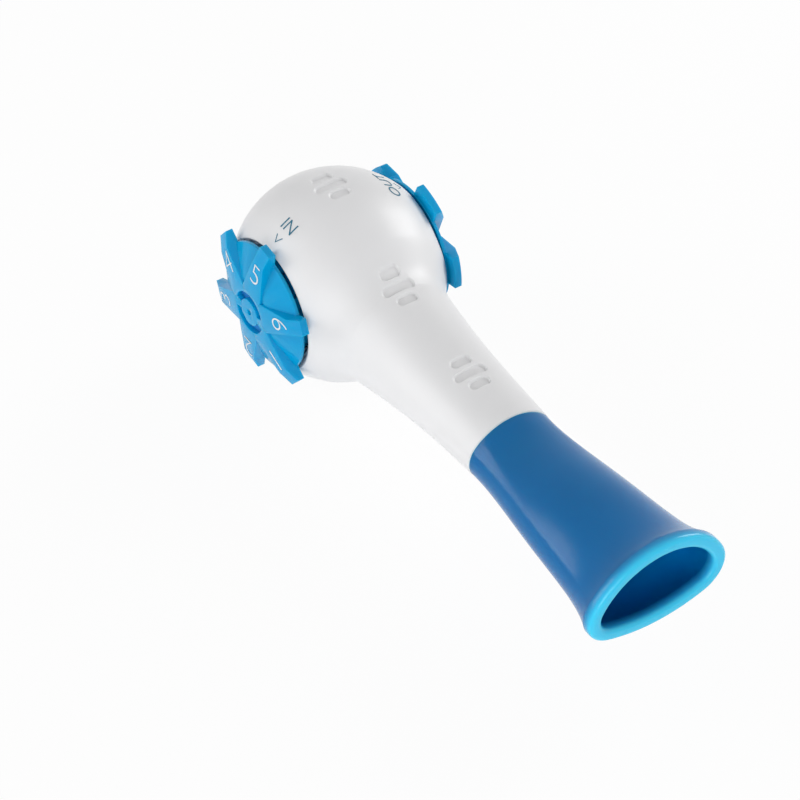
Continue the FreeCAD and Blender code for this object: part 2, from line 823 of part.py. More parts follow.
# Dials
def dial(name, outward, petals, tip_half, slot_turn, vents=()):
    """A petalled dial: a dished flange and a skirt, with raised petals that end in grip tabs."""
    body = new_body(name)
    facet_top = DIAL_FACE - size.facet_step
    tab_front = DIAL_FACE - size.petal_tip_drop
    tab_back = tab_front - size.tab_thickness
    beyond = size.petal_reach * 2
    above = DIAL_FACE + size.dial_rise
    turned(body, "dial_blank", [
        (0, SKIRT_END),
        (size.skirt_radius, SKIRT_END),
        (size.skirt_radius, RIM_BACK),
        (size.flange_radius, RIM_BACK),
        (size.flange_radius, RIM_FRONT),
        (size.floor_edge, DIAL_FACE - size.facet_drop),
        (size.facet_hub, facet_top),
        (size.facet_hub / 2, DIAL_FACE),
        (0, DIAL_FACE),
    ])
    for k, turn in enumerate(petals, start=1):
        petal = outline(body, "petal_%d_outline" % k, "XY_Plane", petal_points(turn, tip_half), tab_back)
        pad(body, "petal_%d" % k, petal, DIAL_FACE - tab_back)
    turned(body, "petal_tops", [
        (size.facet_hub, DIAL_FACE),
        (size.petal_shoulder, DIAL_FACE - size.petal_shoulder_drop),
        (size.petal_reach, tab_front),
        (beyond, tab_front),
        (beyond, above),
        (size.facet_hub, above),
    ], "Groove")
    turned(body, "cup", [
        (0, SKIRT_END - size.skirt_gap),
        (SKIRT_INNER, SKIRT_END - size.skirt_gap),
        (SKIRT_INNER, DIAL_FLOOR - size.floor_chamfer),
        (size.floor_edge, DIAL_FLOOR),
        (0, DIAL_FLOOR),
    ], "Groove")
    turned(body, "flange_back", [
        (size.skirt_radius, SKIRT_END - size.skirt_gap),
        (size.flange_radius, SKIRT_END - size.skirt_gap),
        (size.flange_radius, RIM_BACK),
        (size.skirt_radius, RIM_BACK + size.flange_dish),
    ], "Groove")
    hub_openings(body, slot_turn)
    for k, turn in enumerate(vents, start=1):
        vent = outline(body, "vent_%d_outline" % k, "XY_Plane",
                       sector(size.vent_inner, size.vent_outer, turn - size.vent_half_angle,
                              turn + size.vent_half_angle), RIM_BACK)
        pocket(body, "vent_%d" % k, vent, size.flange_rim + size.vent_depth)
    place_cartridge(body, outward)


def petal_points(turn, tip_half):
    """The plan of one petal, wide at the hub and narrower at its grip tab."""
    along_x, along_y = cosine(turn), sine(turn)
    corners = []
    for reach, side in ((size.facet_hub / 2, -size.petal_root_half / 2),
                        (size.facet_hub, -size.petal_root_half),
                        (size.petal_shoulder, -tip_half),
                        (size.petal_reach, -tip_half),
                        (size.petal_reach, tip_half),
                        (size.petal_shoulder, tip_half),
                        (size.facet_hub, size.petal_root_half),
                        (size.facet_hub / 2, size.petal_root_half / 2)):
        corners.append((reach * along_x - side * along_y, reach * along_y + side * along_x))
    return corners


def hub_openings(body, slot_turn):
    """The pin hole and the two curved air slots of the dial hub."""
    hub = new_sketch(body, "hub_hole_circle", "XY_Plane", DIAL_FLOOR)
    add_circle(hub, 0, 0, size.hub_hole_radius)
    pocket(body, "hub_hole", hub, size.dial_wall)
    sketch = new_sketch(body, "hub_slot_outline", "XY_Plane", DIAL_FLOOR)
    limits = (slot_turn - size.hub_slot_half, slot_turn + size.hub_slot_half)
    start, stop = [math.radians(limit.value) for limit in limits]
    radii = (size.hub_slot_inner, size.hub_slot_outer)
    sketch.addGeometry([arc(0, 0, radius.value, start, stop) for radius in radii], False)
    for limit in limits:
        near, far = [FreeCAD.Vector(*[part.value for part in polar(radius, limit)], 0) for radius in radii]
        sketch.addGeometry(Part.LineSegment(near, far), False)
    for curve, radius in enumerate(radii):
        sketch.addConstraint(Sketcher.Constraint("Coincident", curve, 3, -1, 1))
        dimension(sketch, "Radius", (curve,), radius)
        for end, limit in enumerate(limits, start=1):
            dimension(sketch, "DistanceX", (-1, 1, curve, end), radius * cosine(limit))
            sketch.addConstraint(Sketcher.Constraint("Coincident", curve, end, end + 1, curve + 1))
    cut = pocket(body, "hub_slot", sketch, size.dial_wall)
    around(body, "hub_slots", [cut], 2)


# Crown slots and lowered fingers, as angles from the hook of each ring
def inhale_crown():
    """Half of the crown: hook arm, then narrow, wide, narrow, wide and narrow fingers."""
    hook = -size.inhale_hook_turn
    slots = [hook - edge for edge in FINGER_EDGES]
    low = [(hook - end, hook - start, size.finger_height)
           for start, end in zip(FINGER_EDGES[::2], FINGER_EDGES[1::2])]
    return slots, low


def exhale_crown():
    """Five wide tongues with five short ones between them; one hook stands on an arm of its own."""
    pitch = 360 / EXHALE_SETTINGS
    slots = []
    low = []
    for k in range(EXHALE_SETTINGS):
        start = EXHALE_WIDE_END + pitch * k
        end = start + EXHALE_SHORT_SPAN
        if k == EXHALE_SETTINGS - 1:
            slots.append(end)
            end = end - EXHALE_ARM_SPAN
        slots.extend([start, end])
        low.append((start, end, size.crown_root + size.crown_slot * 2))
    return slots, low


def check_and_write(nodes):
    """Every object must be in good order, and every piece one solid, before the shapes are written."""
    doc.recompute()
    faults = ["%s: %s" % (thing.Label, thing.State) for thing in doc.Objects
              if "Invalid" in thing.State or "Error" in thing.State]
    for body in nodes:
        shape = body.Shape
        if shape.isNull() or not shape.isValid() or len(shape.Solids) != 1:
            faults.append("%s is not one valid solid: %d" % (body.Label, len(shape.Solids)))
    if faults:
        raise RuntimeError("; ".join(faults))
    os.makedirs("parts", exist_ok=True)
    for body in nodes:
        body.Shape.exportStep("parts/%s.step" % body.Label)


body_shell()
mouthpiece()
orifice_ring("inhale_orifice_ring", -1, *inhale_crown(), -size.inhale_hook_turn, INHALE_SETTINGS, 2)
orifice_ring("exhale_orifice_ring", 1, *exhale_crown(), size.exhale_hook_turn, EXHALE_SETTINGS, 1)
inhale_selector()
exhale_selector()
valve_disc("inhale_valve_disc", -1, DIAL_FLOOR - size.disc_thickness)
valve_disc("exhale_valve_disc", 1, POST_END)
dial("inhale_dial", -1, INHALE_PETALS, size.inhale_tip_half, size.inhale_slot_turn)
dial("exhale_dial", 1, EXHALE_PETALS, size.exhale_tip_half, size.exhale_slot_turn, VENTED_PETALS)
check_and_write([thing for thing in doc.Objects if thing.TypeId == "PartDesign::Body"])
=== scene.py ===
import bmesh
import bpy
import math
import numpy as np
from mathutils import Matrix, Vector


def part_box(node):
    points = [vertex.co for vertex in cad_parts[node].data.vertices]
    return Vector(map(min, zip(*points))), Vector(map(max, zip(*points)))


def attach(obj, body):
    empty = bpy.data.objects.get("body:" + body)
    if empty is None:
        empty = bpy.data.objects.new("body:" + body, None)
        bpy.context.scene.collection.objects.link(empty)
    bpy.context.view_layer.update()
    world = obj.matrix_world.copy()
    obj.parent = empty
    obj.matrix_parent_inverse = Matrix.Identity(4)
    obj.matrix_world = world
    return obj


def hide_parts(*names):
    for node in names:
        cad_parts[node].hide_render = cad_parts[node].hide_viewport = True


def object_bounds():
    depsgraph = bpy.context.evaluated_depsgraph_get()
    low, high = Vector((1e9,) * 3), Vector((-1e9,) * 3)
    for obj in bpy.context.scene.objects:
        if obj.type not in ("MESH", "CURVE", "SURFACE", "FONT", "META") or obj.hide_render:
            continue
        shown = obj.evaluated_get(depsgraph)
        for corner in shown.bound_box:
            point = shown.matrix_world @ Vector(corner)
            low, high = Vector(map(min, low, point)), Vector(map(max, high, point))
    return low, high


# Breathing trainer: a white ball and neck, a blue push-fit mouthpiece and two blue dial cartridges.
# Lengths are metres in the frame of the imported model; MM turns the sizes of the drawing into metres.

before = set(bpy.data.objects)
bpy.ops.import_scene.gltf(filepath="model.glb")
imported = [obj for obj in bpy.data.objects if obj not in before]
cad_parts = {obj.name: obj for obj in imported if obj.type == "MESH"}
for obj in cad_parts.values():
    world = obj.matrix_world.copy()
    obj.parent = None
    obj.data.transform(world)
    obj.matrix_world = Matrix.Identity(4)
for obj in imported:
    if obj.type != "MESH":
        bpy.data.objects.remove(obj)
CAD_BOX = [list(corner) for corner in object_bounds()]
MM = 0.001
# the two dial cartridges and the side of the ball that each is on, as a sign along X
SIDES = {"inhale": -1, "exhale": 1}

# Ball and neck
BALL_RADIUS = 32 * MM
SHELL_WALL = 2.4 * MM
NECK_WALL = 1.6 * MM
# radius of the narrow arcs at the neck's sides, as a share of its half height
NECK_CORNER = 0.78
NECK_BLEND = 4.5 * MM
NECK_RIM_ROUND = 0.5 * MM
BALL_CENTRE = Vector((0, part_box("body_shell")[1][1] - BALL_RADIUS, BALL_RADIUS))
NECK_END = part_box("body_shell")[0][1]
# neck ovals: distance from the ball centre, half width, half height and how far their middle is above it
NECK_OVALS = np.array([
    (18, 21.0, 20.6, 0.0),
    (33, 18.6, 17.7, 0.25),
    (50, 16.4, 14.7, 0.65),
    (68, 14.9, 12.4, 1.1),
    (87, 14.0, 11.0, 1.1),
]) * MM

# Dial sockets
SOCKET_MOUTH = 20.8 * MM
SOCKET_BORE = 16.2 * MM
SOCKET_FRONT = 20.1 * MM
SOCKET_SEAT = 14.5 * MM
SOCKET_SEAT_RADIUS = 15.0 * MM
SOCKET_WALL = 2.0 * MM
SEAT_WALL = 1.6 * MM

# Materials
# face attribute that marks the rounded edges for a painted highlight colour
EDGE_HIGHLIGHT_MARK = "painted_edge_highlight"
FLOW_SCALE = 22
FLOW_DETAIL = 3
FLOW_DEEP_BELOW = 0.35
FLOW_FULL_ABOVE = 0.65
GRAIN_SCALE = 900
GRAIN_DETAIL = 2
GRAIN_STRENGTH = 0.02
GRAIN_HEIGHT = 0.2 * MM
ROUGHNESS_SPREAD = 0.03
BLUE_GLOW = (0.3, 0.9, 1.0)
WHITE_GLOW = (1.0, 1.0, 1.0)
INK_SPECK_SCALE = 1500
INK_DARKEST = 0.85
INK_ROUGHNESS = 0.45


def nodes_of(material):
    material.use_nodes = True
    tree = material.node_tree
    shader = tree.nodes["Principled BSDF"]
    return tree, shader


def noise(tree, scale, detail):
    """Noise over the object's own coordinates."""
    place = tree.nodes.new("ShaderNodeTexCoord")
    texture = tree.nodes.new("ShaderNodeTexNoise")
    texture.inputs["Scale"].default_value = scale
    texture.inputs["Detail"].default_value = detail
    tree.links.new(place.outputs["Object"], texture.inputs["Vector"])
    return texture.outputs["Fac"]


def blended(tree, share, shade, colour):
    """A shade that turns into a plain colour where the share is 1."""
    blend = tree.nodes.new("ShaderNodeMixRGB")
    blend.inputs["Color2"].default_value = (*colour, 1)
    tree.links.new(share, blend.inputs["Fac"])
    tree.links.new(shade, blend.inputs["Color1"])
    return blend.outputs["Color"]


def two_tones(tree, share, low, high):
    """A shade that runs between two colours."""
    tint = tree.nodes.new("ShaderNodeValToRGB")
    tint.color_ramp.elements[0].color = (*low, 1)
    tint.color_ramp.elements[1].color = (*high, 1)
    tree.links.new(share, tint.inputs["Fac"])
    return tint


def moulded_plastic(name, colour, deep, roughness, gloss, glow, edge_highlight_colour=None, glow_depth=3 * MM):
    """Injection-moulded plastic: faint flow variation, a very fine grain and, where asked, a painted
    highlight colour on the rounded edges.
    """
    material = bpy.data.materials.new(name)
    tree, shader = nodes_of(material)
    tint = two_tones(tree, noise(tree, FLOW_SCALE, FLOW_DETAIL), deep, colour)
    tint.color_ramp.elements[0].position = FLOW_DEEP_BELOW
    tint.color_ramp.elements[1].position = FLOW_FULL_ABOVE
    shade = tint.outputs["Color"]
    # where asked, the rounded edges are painted a pale highlight colour
    if edge_highlight_colour:
        edge = tree.nodes.new("ShaderNodeAttribute")
        edge.attribute_name = EDGE_HIGHLIGHT_MARK
        shade = blended(tree, edge.outputs["Fac"], shade, edge_highlight_colour)
    tree.links.new(shade, shader.inputs["Base Color"])
    grain = noise(tree, GRAIN_SCALE, GRAIN_DETAIL)
    dent = tree.nodes.new("ShaderNodeBump")
    dent.inputs["Strength"].default_value = GRAIN_STRENGTH
    dent.inputs["Distance"].default_value = GRAIN_HEIGHT
    tree.links.new(grain, dent.inputs["Height"])
    tree.links.new(dent.outputs["Normal"], shader.inputs["Normal"])
    spread = tree.nodes.new("ShaderNodeMapRange")
    spread.inputs["To Min"].default_value = roughness - ROUGHNESS_SPREAD
    spread.inputs["To Max"].default_value = roughness + ROUGHNESS_SPREAD
    tree.links.new(grain, spread.inputs["Value"])
    tree.links.new(spread.outputs["Result"], shader.inputs["Roughness"])
    shader.inputs["Specular IOR Level"].default_value = gloss
    shader.inputs["Subsurface Weight"].default_value = glow
    shader.inputs["Subsurface Radius"].default_value = BLUE_GLOW if edge_highlight_colour else WHITE_GLOW
    shader.inputs["Subsurface Scale"].default_value = glow_depth
    return material


def printed_ink(name, colour):
    """Ink with a faint speckle."""
    material = bpy.data.materials.new(name)
    tree, shader = nodes_of(material)
    darkest = [value * INK_DARKEST for value in colour]
    tint = two_tones(tree, noise(tree, INK_SPECK_SCALE, GRAIN_DETAIL), darkest, colour)
    tree.links.new(tint.outputs["Color"], shader.inputs["Base Color"])
    shader.inputs["Roughness"].default_value = INK_ROUGHNESS
    return material


def banded(material, axis, start, end, colour):
    """The same plastic, turning into another colour between two places along an object axis; used for the
    painted highlight at the mouthpiece's lip.
    """
    tree, shader = nodes_of(material)
    shade = shader.inputs["Base Color"].links[0].from_socket
    place = tree.nodes.new("ShaderNodeTexCoord")
    parts = tree.nodes.new("ShaderNodeSeparateXYZ")
    tree.links.new(place.outputs["Object"], parts.inputs["Vector"])
    span = tree.nodes.new("ShaderNodeMapRange")
    span.inputs["From Min"].default_value = start
    span.inputs["From Max"].default_value = end
    tree.links.new(parts.outputs[axis], span.inputs["Value"])
    tree.links.new(blended(tree, span.outputs["Result"], shade, colour), shader.inputs["Base Color"])
    return material


# pale cyan painted highlight, on the rounded edges and at the mouthpiece's lip
PAINTED_HIGHLIGHT_CYAN = (0.05, 0.56, 0.85)
# the mouthpiece is painted pale cyan towards its lip face, a painted highlight of the lit, thin lip
LIP_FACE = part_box("mouthpiece")[0][1]
LIP_HIGHLIGHT_BAND = 3.6 * MM
LIP_HIGHLIGHT_BAND_FULL = 0.6 * MM
WHITE = moulded_plastic(
    "white_shell_plastic", colour=(0.84, 0.84, 0.85), deep=(0.82, 0.82, 0.83),
    roughness=0.38, gloss=0.4, glow=0.45)
BLUE = moulded_plastic(
    "blue_clear_plastic", colour=(0.0, 0.36, 0.68), deep=(0.0, 0.32, 0.63),
    roughness=0.2, gloss=0.2, glow=0.35, edge_highlight_colour=PAINTED_HIGHLIGHT_CYAN)
SLEEVE_PLASTIC = moulded_plastic(
    "blue_sleeve_plastic", colour=(0.0, 0.155, 0.41), deep=(0.0, 0.14, 0.38),
    roughness=0.18, gloss=0.2, glow=0.6, edge_highlight_colour=PAINTED_HIGHLIGHT_CYAN, glow_depth=6 * MM)
# painted highlight band at the lip of the mouthpiece
SLEEVE_BLUE = banded(SLEEVE_PLASTIC, "Y", LIP_FACE + LIP_HIGHLIGHT_BAND, LIP_FACE + LIP_HIGHLIGHT_BAND_FULL, PAINTED_HIGHLIGHT_CYAN)
DISC_BLUE = moulded_plastic(
    "blue_silicone", colour=(0.03, 0.27, 0.66), deep=(0.025, 0.25, 0.62),
    roughness=0.5, gloss=0.25, glow=0.1)
TEAL_INK = printed_ink("teal_ink", (0.0, 0.15, 0.25))
WHITE_INK = printed_ink("white_ink", (0.85, 0.87, 0.88))


# Mesh helpers
SAME_POINT = 0.001 * MM
LATHE_STEPS = 160


def new_piece(name, mesh, material, body):
    piece = bpy.data.objects.new(name, mesh)
    bpy.context.scene.collection.objects.link(piece)
    mesh.materials.clear()
    mesh.materials.append(material)
    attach(piece, body)
    return piece


def grid_mesh(name, rings):
    """A closed skin over a stack of closed rings, with a pole at each end."""
    rings = np.asarray(rings)
    count, around, _ = rings.shape
    points = [tuple(p) for p in rings.reshape(-1, 3)]
    faces = []
    for i in range(count - 1):
        for j in range(around):
            k = (j + 1) % around
            faces.append((i * around + j, i * around + k, (i + 1) * around + k, (i + 1) * around + j))
    first_pole = len(points)
    points.append(tuple(rings[0].mean(axis=0)))
    points.append(tuple(rings[-1].mean(axis=0)))
    last_ring = (count - 1) * around
    for j in range(around):
        k = (j + 1) % around
        faces.append((first_pole, k, j))
        faces.append((first_pole + 1, last_ring + j, last_ring + k))
    mesh = bpy.data.meshes.new(name)
    mesh.from_pydata(points, [], faces)
    outward(mesh)
    return mesh


def outward(mesh):
    """Points in the same place become one, and every face looks outward."""
    work = bmesh.new()
    work.from_mesh(mesh)
    bmesh.ops.remove_doubles(work, verts=work.verts, dist=SAME_POINT)
    bmesh.ops.recalc_face_normals(work, faces=work.faces)
    work.to_mesh(mesh)
    work.free()


def smooth(mesh, angle):
    """Smooth shading, with a sharp edge wherever the faces meet at more than an angle in degrees."""
    mesh.shade_smooth()
    mesh.set_sharp_from_angle(angle=math.radians(angle))


def temporary(mesh):
    thing = bpy.data.objects.new(mesh.name, mesh)
    bpy.context.scene.collection.objects.link(thing)
    return thing


def evaluated_mesh(thing, name):
    """The mesh of an object with its modifiers worked out; the object itself is removed."""
    bpy.context.view_layer.update()
    ready = thing.evaluated_get(bpy.context.evaluated_depsgraph_get())
    mesh = bpy.data.meshes.new_from_object(ready)
    mesh.name = name
    bpy.data.objects.remove(thing)
    return mesh


def carved(mesh, tool, operation):
    """A mesh joined with, cut by or cut down to another."""
    base = temporary(mesh)
    cutter = temporary(tool)
    cut = base.modifiers.new("cut", "BOOLEAN")
    cut.operation = operation
    cut.solver = "EXACT"
    cut.object = cutter
    result = evaluated_mesh(base, mesh.name)
    bpy.data.objects.remove(cutter)
    return result


def on_axis(x):
    """The move from the origin to a place on the dial axis."""
    return Matrix.Translation((x, BALL_CENTRE.y, BALL_CENTRE.z))


def outer_end(node, sign):
    """Where a piece of the drawing ends, away from the ball."""
    low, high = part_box(node)
    return high[0] if sign > 0 else low[0]


def away_from_axis(turn):
    """The direction away from the dial axis at a turn about it, measured from straight up."""
    return Vector((0, -math.sin(turn), math.cos(turn)))


def lathe_x(name, profile, sign, steps=LATHE_STEPS):
    """A closed (distance, radius) profile turned about the dial axis, on the side of the given sign."""
    points = []
    for i in range(steps):
        turn = 2 * math.pi * i / steps
        for along, radius in profile:
            y = radius * math.cos(turn) + BALL_CENTRE.y
            z = radius * math.sin(turn) + BALL_CENTRE.z
            points.append((sign * along, y, z))
    count = len(profile)
    faces = []
    for i in range(steps):
        here = i * count
        beyond = ((i + 1) % steps) * count
        for j in range(count):
            k = (j + 1) % count
            faces.append((here + j, here + k, beyond + k, beyond + j))
    mesh = bpy.data.meshes.new(name)
    mesh.from_pydata(points, [], faces)
    outward(mesh)
    return mesh


def joined(name, meshes):
    """One mesh of several that don't touch."""
    work = bmesh.new()
    for mesh in meshes:
        work.from_mesh(mesh)
    result = bpy.data.meshes.new(name)
    work.to_mesh(result)
    work.free()
    return result


# Ovals
ARC_STEPS = 120


def oval_points(half_width, top, bottom, corner, level, around):
    """Points of an oval of four tangent arcs, spread evenly along it, from +X towards the top."""
    side = half_width - corner

    def long_arc(rise):
        return (side ** 2 + rise ** 2 - corner ** 2) / (2 * (rise - corner))

    crown, keel = long_arc(top - level), long_arc(bottom + level)
    rise = math.atan2(level - top + crown, side)
    fall = math.atan2(keel - bottom - level, side)
    arcs = [
        (side, level, corner, 0, rise),
        (0, top - crown, crown, rise, math.pi - rise),
        (-side, level, corner, math.pi - rise, math.pi + fall),
        (0, keel - bottom, keel, math.pi + fall, 2 * math.pi - fall),
        (side, level, corner, 2 * math.pi - fall, 2 * math.pi),
    ]
    fine = []
    for x, z, radius, start, end in arcs:
        turns = np.linspace(start, end, ARC_STEPS, endpoint=False)
        fine.append(np.stack([x + radius * np.cos(turns), z + radius * np.sin(turns)], axis=1))
    fine = np.concatenate(fine)
    closed = np.vstack([fine, fine[:1]])
    reach = np.concatenate([[0], np.cumsum(np.linalg.norm(np.diff(closed, axis=0), axis=1))])
    wanted = np.linspace(0, reach[-1], around, endpoint=False)
    return np.stack([np.interp(wanted, reach, closed[:, column]) for column in (0, 1)], axis=1)


def smooth_through(stations, column, places):
    """A smooth curve through one column of a table of stations."""
    fit = np.polyfit(stations[:, 0] / MM, stations[:, column] / MM, len(stations) - 1)
    return np.polyval(fit, np.asarray(places) / MM) * MM


# Body shell
DIMPLE_DEPTH = 0.7 * MM
DIMPLE_HALF_WIDTH = 1.75 * MM
DIMPLE_EDGE = 0.5 * MM
DIMPLE_PITCH = 4.6 * MM
DIMPLE_LONG = 5.6 * MM
DIMPLE_SHORT = 3.6 * MM
# middle of each group of three, as a distance from the ball centre towards the mouthpiece
DIMPLE_GROUPS = (-4.2 * MM, 31.0 * MM, 67.0 * MM)
# columns of faces round the neck axis and rings along it
TOP_COLUMNS = 150
SIDE_COLUMNS = 110
TOP_HALF_ANGLE = math.radians(34)
OVAL_STEPS = 720
POLE_ANGLE = 0.02
CAP_ANGLE = math.radians(72)
OUTER_CAP_RINGS = 40
INNER_CAP_RINGS = 24
INNER_RINGS = 60
RIM_STEPS = 4
PLAIN_STEP = 0.9 * MM
DIMPLE_STEP = 0.28 * MM
DIMPLE_SPAN = 1.7 * DIMPLE_PITCH
# where the neck starts to grow out of the ball, and where the soft join has its full size
JOIN_START = 12 * MM
JOIN_FULL = 19 * MM
# before this place the dimples are sunk square to the ball, up to a limit, and after it square to the neck
NECK_DIMPLES = 20 * MM
LEAST_FACING = 0.5
SHELL_SHARP = 32
MOUTH_EDGE = 0.35 * MM


def shell_angles():
    """Angles round the neck axis, packed closely over the top where the dimples are."""
    start = math.pi / 2 - TOP_HALF_ANGLE
    end = math.pi / 2 + TOP_HALF_ANGLE
    top = np.linspace(start, end, TOP_COLUMNS, endpoint=False)
    rest = np.linspace(end, start + 2 * math.pi, SIDE_COLUMNS, endpoint=False)
    return np.concatenate([top, rest])


def neck_reach(place, angles, inset):
    """Distance from the neck axis to the neck surface, for each angle, at one place."""
    width = smooth_through(NECK_OVALS, 1, place) - inset
    height = smooth_through(NECK_OVALS, 2, place) - inset
    level = smooth_through(NECK_OVALS, 3, place)
    corner = NECK_CORNER * (height + inset) - inset
    points = oval_points(width, height + level, height - level, corner, level, OVAL_STEPS)
    turns = np.unwrap(np.arctan2(points[:, 1], points[:, 0]))
    reach = np.linalg.norm(points, axis=1)
    turns = np.concatenate([turns - 2 * math.pi, turns, turns + 2 * math.pi])
    return np.interp(angles, turns, np.tile(reach, 3))


def shell_reach(place, angles, ball_radius, inset, blend):
    """Distance from the neck axis to the shell surface: the ball and the neck, softly joined."""
    ball = math.sqrt(max(ball_radius ** 2 - place ** 2, 0))
    if place < JOIN_START:
        return np.full(len(angles), ball)
    neck = neck_reach(place, angles, inset)
    soft = blend * min((place - JOIN_START) / (JOIN_FULL - JOIN_START), 1)
    gap = ball - neck
    over = (ball + neck + np.sqrt(gap ** 2 + soft ** 2)) / 2
    # the small number keeps the division from failing where ball and neck are level
    excess = soft ** 2 / (4 * np.sqrt(gap ** 2 + (4 * soft) ** 2 + 1e-12))
    return over - excess


def dimple_depth(x, place):
    """How far the grip dimples sink the surface at a point of the top."""
    sink = np.zeros_like(x)
    for middle in DIMPLE_GROUPS:
        for k in (-1, 0, 1):
            length = DIMPLE_SHORT if k else DIMPLE_LONG
            straight = length - DIMPLE_HALF_WIDTH
            off_x = np.maximum(np.abs(x) - straight, 0)
            off_y = place - middle - k * DIMPLE_PITCH
            away = np.sqrt(off_x ** 2 + off_y ** 2) - DIMPLE_HALF_WIDTH
            share = np.clip(-away / DIMPLE_EDGE, 0, 1)
            sink = np.maximum(sink, DIMPLE_DEPTH * share * share * (3 - 2 * share))
    return sink


def shell_ring(place, angles, reach):
    return np.stack([
        reach * np.cos(angles),
        np.full(len(angles), BALL_CENTRE.y - place),
        BALL_CENTRE.z + reach * np.sin(angles),
    ], axis=1)


def outer_places(neck_length):
    """Places of the outer rings, packed closely through each group of dimples."""
    places = [-BALL_RADIUS * math.cos(t) for t in np.linspace(POLE_ANGLE, CAP_ANGLE, OUTER_CAP_RINGS)]
    cursor = places[-1]
    for middle in DIMPLE_GROUPS:
        low = middle - DIMPLE_SPAN
        high = middle + DIMPLE_SPAN
        if low > cursor:
            steps = max(int((low - cursor) / PLAIN_STEP), 1)
            places.extend(np.linspace(cursor, low, steps + 1)[1:])
        places.extend(np.arange(max(low, cursor) + DIMPLE_STEP, high, DIMPLE_STEP))
        cursor = places[-1]
    steps = int((neck_length - NECK_RIM_ROUND - cursor) / PLAIN_STEP)
    places.extend(np.linspace(cursor, neck_length - NECK_RIM_ROUND, steps + 1)[1:])
    return places


def shell_mesh():
    """The skin of the ball and the neck: along the outside, over the neck's rim and back inside."""
    angles = shell_angles()
    neck_length = BALL_CENTRE.y - NECK_END
    rings = []
    for place in outer_places(neck_length):
        reach = shell_reach(place, angles, BALL_RADIUS, 0, NECK_BLEND)
        x = reach * np.cos(angles)
        facing_up = np.sin(angles) > 0
        sink = dimple_depth(x, place) * facing_up
        facing_out = math.cos(math.asin(place / BALL_RADIUS)) if place < NECK_DIMPLES else 1
        rings.append(shell_ring(place, angles, reach - sink / max(facing_out, LEAST_FACING)))
    for step in np.linspace(1 / RIM_STEPS, 1, RIM_STEPS):
        turn = step * math.pi / 2
        place = neck_length - NECK_RIM_ROUND * (1 - math.sin(turn))
        reach = neck_reach(place, angles, 0) - NECK_RIM_ROUND * (1 - math.cos(turn))
        rings.append(shell_ring(place, angles, reach))
    for step in np.linspace(0, 1, RIM_STEPS):
        turn = step * math.pi / 2
        place = neck_length - NECK_RIM_ROUND * (1 - math.cos(turn))
        reach = neck_reach(place, angles, NECK_WALL) + NECK_RIM_ROUND * (1 - math.sin(turn))
        rings.append(shell_ring(place, angles, reach))
    inner_radius = BALL_RADIUS - SHELL_WALL
    inner = list(np.linspace(neck_length - 2 * NECK_RIM_ROUND, -0.3 * inner_radius, INNER_RINGS))
    inner += [-inner_radius * math.cos(t) for t in np.linspace(CAP_ANGLE, POLE_ANGLE, INNER_CAP_RINGS)]
    for place in inner:
        reach = shell_reach(place, angles, inner_radius, NECK_WALL, NECK_BLEND)
        rings.append(shell_ring(place, angles, reach))
    return grid_mesh("body_shell_skin", rings)


# notches of the socket's bore, one for each hook of its ring, as turns from straight up in degrees
NOTCH_WIDTH = 5.0 * MM
NOTCH_REACH = 17.8 * MM
NOTCH_CLEAR = 0.3 * MM
HOOK_TURNS = {"inhale": (-58, 122), "exhale": (-26, 154)}


def notch_mesh(sign, turn):
    """A bar along the socket's bore that cuts the way in for a ring's hook."""
    radial = away_from_axis(turn)
    level = Vector((0, math.cos(turn), math.sin(turn)))
    points = []
    for along in (SOCKET_SEAT + NOTCH_CLEAR, 1.5 * BALL_RADIUS):
        for radius in (SOCKET_SEAT_RADIUS + NOTCH_CLEAR, NOTCH_REACH):
            for across in (-NOTCH_WIDTH / 2, NOTCH_WIDTH / 2):
                points.append(BALL_CENTRE + Vector((sign * along, 0, 0)) + radial * radius + level * across)
    faces = [(0, 1, 3, 2), (4, 6, 7, 5), (0, 4, 5, 1), (2, 3, 7, 6), (0, 2, 6, 4), (1, 5, 7, 3)]
    mesh = bpy.data.meshes.new("notch")
    mesh.from_pydata(points, [], faces)
    outward(mesh)
    return mesh


